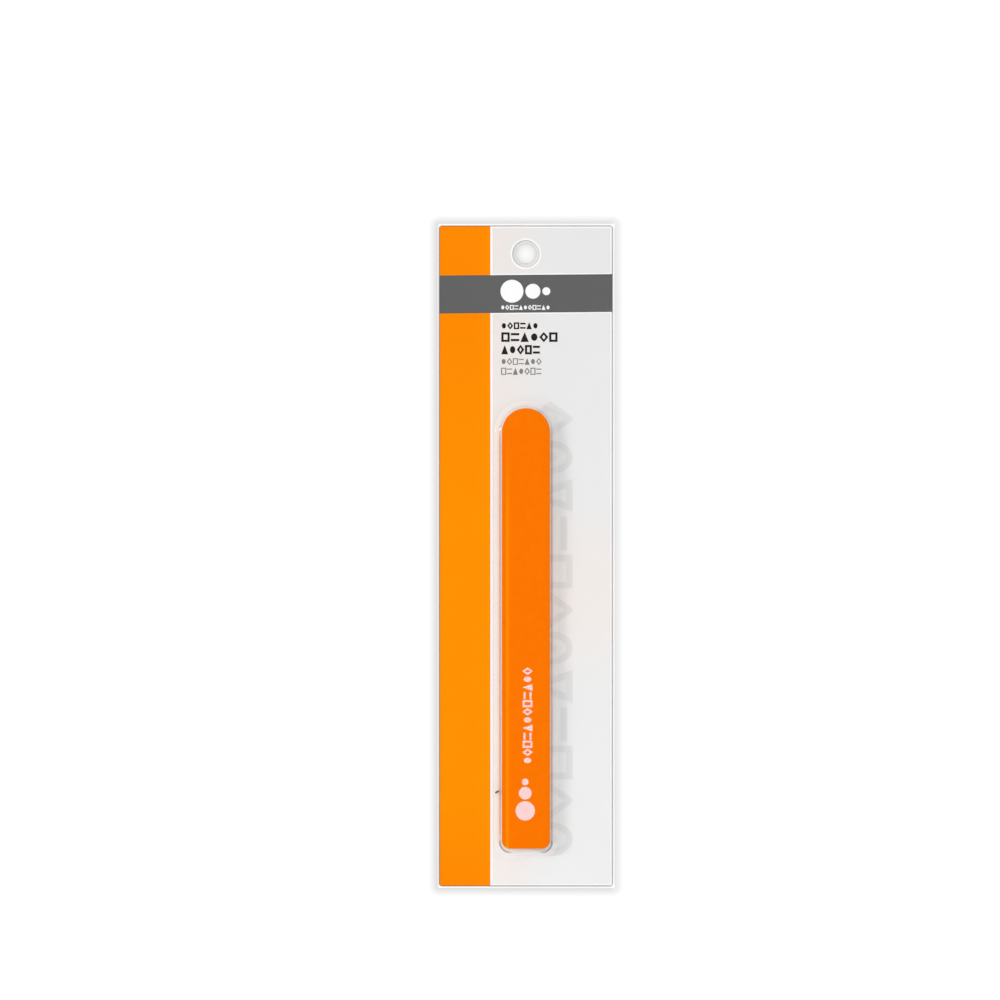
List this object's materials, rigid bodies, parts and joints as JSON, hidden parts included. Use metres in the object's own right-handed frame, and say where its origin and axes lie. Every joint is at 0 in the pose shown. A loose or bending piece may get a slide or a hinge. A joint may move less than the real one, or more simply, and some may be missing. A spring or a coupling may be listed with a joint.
{
  "type": "sanding stick",
  "caption": "Layered foam sanding stick in its hanging pack: a printed card with a round hang hole, and a clear formed sheet whose pocket follows the stick and peels open.",
  "frame": {"origin": "middle of the card's back face, on which the pack lies", "axes": "+X across the card, +Y along it from the stick's square end towards the hang hole, +Z out of the printed face"},
  "size_m": [0.071, 0.2706, 0.0054],
  "materials": {
    "printed_card": "satin",
    "clear_sheet": "gloss",
    "core_plastic": "matte",
    "adhesive_film": "satin",
    "foam": "matte",
    "backing_paper": "matte",
    "abrasive_grain": "matte"
  },
  "bodies": {
    "pack_card": {"backing_card": "printed_card", "blister_header": "clear_sheet"},
    "blister_flap": {"blister_pocket": "clear_sheet"},
    "stick": {"core_strip": "core_plastic", "front_inner_adhesive": "adhesive_film", "front_foam_pad": "foam", "front_outer_adhesive": "adhesive_film", "front_backing_paper": "backing_paper", "front_grain_coat": "abrasive_grain", "rear_inner_adhesive": "adhesive_film", "rear_foam_pad": "foam", "rear_outer_adhesive": "adhesive_film", "rear_backing_paper": "backing_paper", "rear_grain_coat": "abrasive_grain"}
  },
  "joints": [
    {"name": "blister_peel", "type": "hinge", "parent": "pack_card", "child": "blister_flap", "pos_m": [0, 0.098, 0.0008], "axis": [-1, 0, 0], "range_deg": [0, 120]},
    {"name": "stick_lift", "type": "slide", "parent": "pack_card", "child": "stick", "axis": [0, 0, 1], "range_m": [0, 0.03]}
  ],
  "couplings": [
    {"joint": "stick_lift", "follows": "blister_peel", "m_per_rad": 0.0143}
  ]
}
